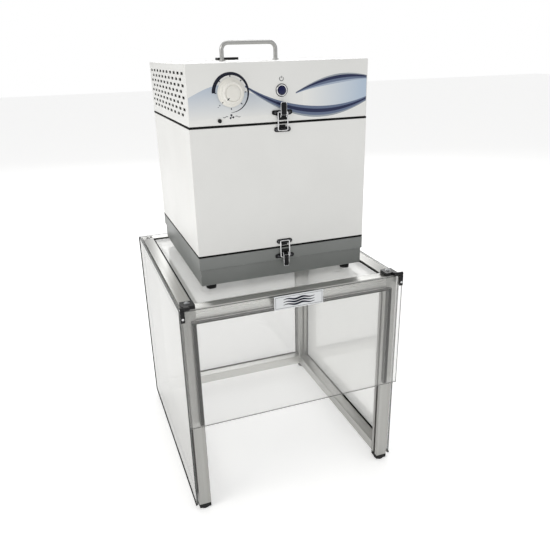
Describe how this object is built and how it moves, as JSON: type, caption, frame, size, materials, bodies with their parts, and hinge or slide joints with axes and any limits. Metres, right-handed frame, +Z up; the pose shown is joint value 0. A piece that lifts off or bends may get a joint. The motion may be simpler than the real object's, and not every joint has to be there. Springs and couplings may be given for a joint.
{
  "type": "ductless fume hood",
  "caption": "Ductless fume hood: clear bench enclosure in aluminium profile with a flip-up sash, under a white filter and blower unit held by toggle latches, with a knob, a button and a handle.",
  "frame": {"origin": "centre of the footprint on the bench, at the bottom of the post feet", "axes": "+Z up; -Y is the front, with the sash, the knob and the button; +X is to the right as seen from the front"},
  "size_m": [0.4712, 0.524, 0.938],
  "materials": {
    "aluminium_profile": "satin",
    "zinc_steel": "satin",
    "black_rubber": "matte",
    "black_foam": "matte",
    "clear_acrylic": "gloss",
    "black_plastic": "satin",
    "bright_steel": "polished",
    "plate_plastic": "satin",
    "grey_paint": "satin",
    "white_paint": "satin",
    "filter_fabric": "matte",
    "carbon_bed": "matte",
    "filter_paper": "matte",
    "motor_grey": "satin",
    "board_green": "satin",
    "satin_steel": "satin",
    "ivory_plastic": "satin",
    "navy_plastic": "gloss",
    "black_steel": "gloss"
  },
  "bodies": {
    "hood": {"post_front_left": "aluminium_profile", "post_front_right": "aluminium_profile", "post_rear_left": "aluminium_profile", "post_rear_right": "aluminium_profile", "top_rail_front": "aluminium_profile", "top_rail_rear": "aluminium_profile", "top_rail_left": "aluminium_profile", "top_rail_right": "aluminium_profile", "bottom_rail_rear": "aluminium_profile", "bottom_rail_left": "aluminium_profile", "bottom_rail_right": "aluminium_profile", "rail_fasteners": "zinc_steel", "post_feet": "black_rubber", "panel_gaskets": "black_foam", "panel_left": "clear_acrylic", "panel_right": "clear_acrylic", "panel_rear": "clear_acrylic", "shelf_angles": "aluminium_profile", "roof_gasket": "black_foam", "roof_panel": "clear_acrylic", "intake_seal": "black_foam", "hinge_blocks": "black_plastic", "hinge_pins": "bright_steel", "unit_feet": "black_rubber", "base_pan": "grey_paint", "inlet_grille": "zinc_steel", "prefilter": "filter_fabric", "lower_seal": "black_foam", "filter_housing": "white_paint", "carbon_filter": "carbon_bed", "particulate_filter": "filter_paper", "upper_seal": "black_foam", "blower_deck": "zinc_steel", "inlet_ring": "zinc_steel", "motor": "motor_grey", "motor_bracket": "zinc_steel", "control_board": "board_green", "control_head": "white_paint", "handle": "satin_steel", "power_inlet": "black_plastic", "speed_control": "black_plastic", "power_switch": "bright_steel", "port_plug": "black_rubber", "latch_bases": "black_steel", "latch_keepers": "black_steel"},
    "sash": {"sash_hinges": "black_plastic", "sash_sheet": "clear_acrylic", "sash_seal": "black_foam", "name_plate": "plate_plastic"},
    "airflow_knob": {"airflow_knob": "ivory_plastic"},
    "power_button": {"power_button": "navy_plastic"},
    "impeller": {"impeller": "black_plastic"},
    "lever_front_upper": {"latch_lever_front_upper": "black_steel"},
    "bail_front_upper": {"latch_bail_front_upper": "bright_steel"},
    "lever_front_lower": {"latch_lever_front_lower": "black_steel"},
    "bail_front_lower": {"latch_bail_front_lower": "bright_steel"},
    "lever_rear_upper": {"latch_lever_rear_upper": "black_steel"},
    "bail_rear_upper": {"latch_bail_rear_upper": "bright_steel"},
    "lever_rear_lower": {"latch_lever_rear_lower": "black_steel"},
    "bail_rear_lower": {"latch_bail_rear_lower": "bright_steel"}
  },
  "joints": [
    {"name": "sash_hinge", "type": "hinge", "parent": "hood", "child": "sash", "pos_m": [0, -0.25825, 0.4812], "axis": [-1, 0, 0], "range_deg": [0, 190]},
    {"name": "airflow_turn", "type": "hinge", "parent": "hood", "child": "airflow_knob", "pos_m": [-0.0937, -0.176, 0.8488], "axis": [0, 1, 0], "range_deg": [0, 300]},
    {"name": "power_press", "type": "slide", "parent": "hood", "child": "power_button", "axis": [0, 1, 0], "range_m": [0, 0.0025], "stiffness_N_per_m": 200},
    {"name": "impeller_spin", "type": "hinge", "parent": "hood", "child": "impeller", "pos_m": [0.004, 0.01, 0.85], "axis": [0, 0, 1], "continuous": true},
    {"name": "lever_front_upper_turn", "type": "hinge", "parent": "hood", "child": "lever_front_upper", "pos_m": [0.004, -0.1815, 0.8039], "axis": [1, 0, 0], "range_deg": [0, 135]},
    {"name": "bail_front_upper_turn", "type": "hinge", "parent": "lever_front_upper", "child": "bail_front_upper", "pos_m": [0.004, -0.181, 0.8109], "axis": [1, 0, 0], "range_deg": [-160, 0]},
    {"name": "lever_front_lower_turn", "type": "hinge", "parent": "hood", "child": "lever_front_lower", "pos_m": [0.004, -0.1815, 0.5337], "axis": [-1, 0, 0], "range_deg": [0, 135]},
    {"name": "bail_front_lower_turn", "type": "hinge", "parent": "lever_front_lower", "child": "bail_front_lower", "pos_m": [0.004, -0.181, 0.5267], "axis": [-1, 0, 0], "range_deg": [-160, 0]},
    {"name": "lever_rear_upper_turn", "type": "hinge", "parent": "hood", "child": "lever_rear_upper", "pos_m": [0.004, 0.2015, 0.8039], "axis": [-1, 0, 0], "range_deg": [0, 135]},
    {"name": "bail_rear_upper_turn", "type": "hinge", "parent": "lever_rear_upper", "child": "bail_rear_upper", "pos_m": [0.004, 0.201, 0.8109], "axis": [-1, 0, 0], "range_deg": [-160, 0]},
    {"name": "lever_rear_lower_turn", "type": "hinge", "parent": "hood", "child": "lever_rear_lower", "pos_m": [0.004, 0.2015, 0.5337], "axis": [1, 0, 0], "range_deg": [0, 135]},
    {"name": "bail_rear_lower_turn", "type": "hinge", "parent": "lever_rear_lower", "child": "bail_rear_lower", "pos_m": [0.004, 0.201, 0.5267], "axis": [1, 0, 0], "range_deg": [-160, 0]}
  ],
  "couplings": [
    {"joint": "bail_front_upper_turn", "follows": "lever_front_upper_turn", "ratio": -1.15},
    {"joint": "bail_front_lower_turn", "follows": "lever_front_lower_turn", "ratio": -1.15},
    {"joint": "bail_rear_upper_turn", "follows": "lever_rear_upper_turn", "ratio": -1.15},
    {"joint": "bail_rear_lower_turn", "follows": "lever_rear_lower_turn", "ratio": -1.15}
  ]
}
